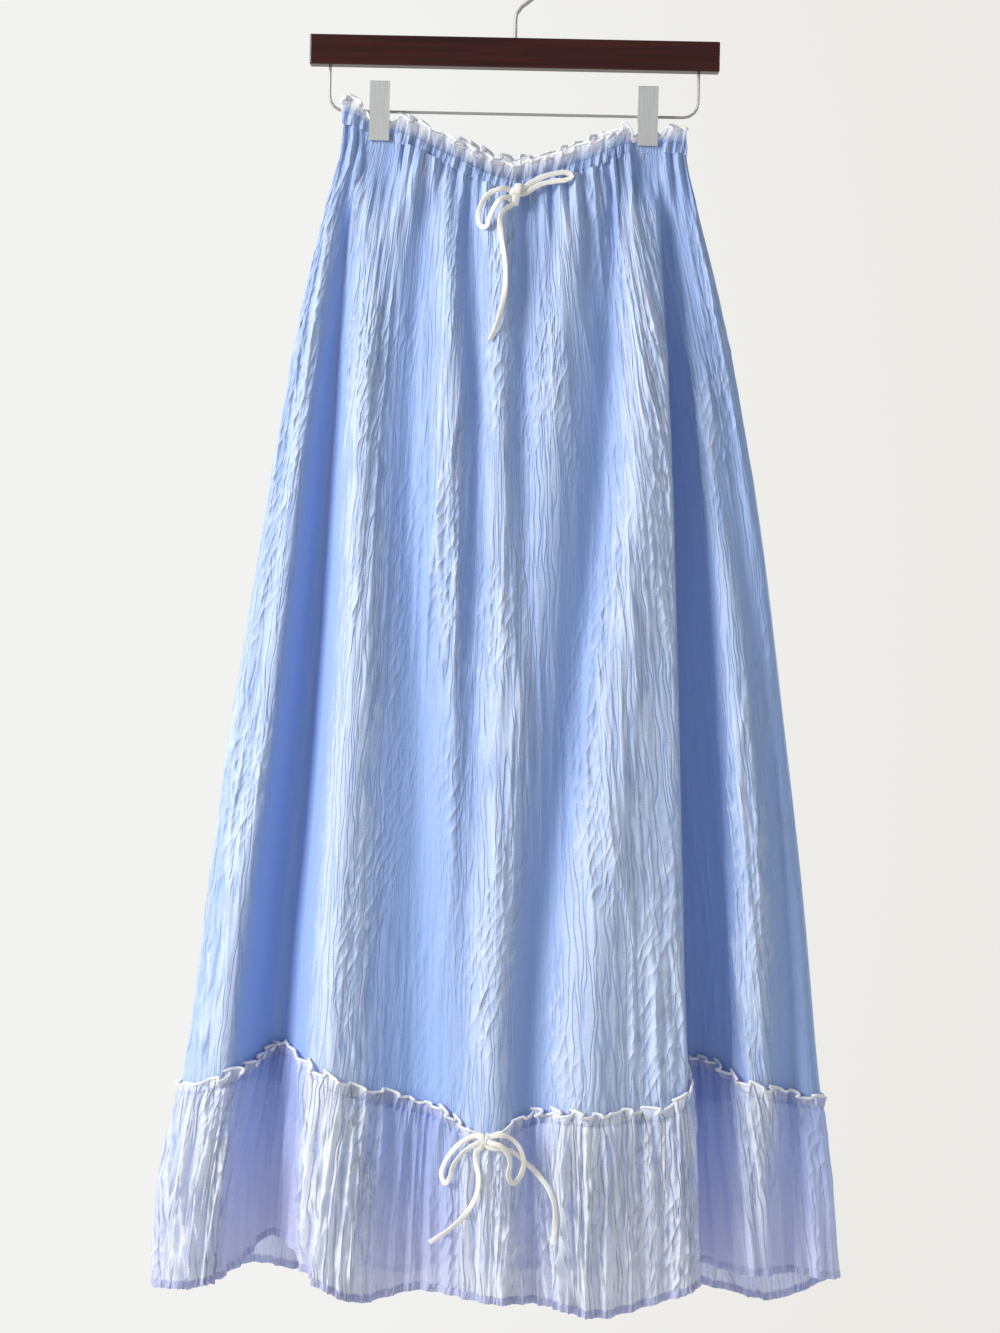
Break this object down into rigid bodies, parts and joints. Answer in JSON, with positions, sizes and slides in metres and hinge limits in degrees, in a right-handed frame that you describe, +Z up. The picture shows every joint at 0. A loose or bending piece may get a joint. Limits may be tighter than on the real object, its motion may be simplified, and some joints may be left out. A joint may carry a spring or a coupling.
{
  "type": "ruffle maxi skirt on a clip hanger",
  "caption": "Long crinkled gauze skirt with a gathered waist frill and a ruffled hem flounce, two cord bows, clipped to a wooden bar hanger with a wire hook.",
  "frame": {"origin": "the point inside the top of the hanger's hook where it rests on its rod", "axes": "+Z up, +X to the right as seen from the front, the skirt's front faces -Y"},
  "size_m": [0.5963, 0.1536, 1.1734],
  "materials": {
    "gauze": "sky blue crinkled gauze",
    "sheer_gauze": "sheer single layer gauze",
    "frill": "gathered gauze with a pale rolled edge",
    "ivory_cord": "soft matt cord",
    "dark_wood": "satin dark red-brown lacquer",
    "steel_wire": "plain wire",
    "plated_clip": "satin plating"
  },
  "bodies": {
    "root": {"skirt_front": "gauze", "skirt_back": "gauze", "waist_ruffle_front": "frill", "waist_ruffle_back": "frill", "flounce_front": "sheer_gauze", "flounce_back": "sheer_gauze", "waist_bow_knot": "ivory_cord", "waist_bow_loop_left": "ivory_cord", "waist_bow_loop_right": "ivory_cord", "waist_bow_tail": "ivory_cord", "flounce_bow_knot": "ivory_cord", "flounce_bow_loop_left": "ivory_cord", "flounce_bow_loop_right": "ivory_cord", "flounce_bow_tail_left": "ivory_cord", "flounce_bow_tail_right": "ivory_cord", "hanger_bar": "dark_wood", "hanger_hook": "steel_wire", "hanger_rail": "steel_wire", "clip_left_front_jaw": "plated_clip", "clip_left_back_jaw": "plated_clip", "clip_left_spring": "steel_wire", "clip_right_front_jaw": "plated_clip", "clip_right_back_jaw": "plated_clip", "clip_right_spring": "steel_wire"}
  },
  "joints": []
}
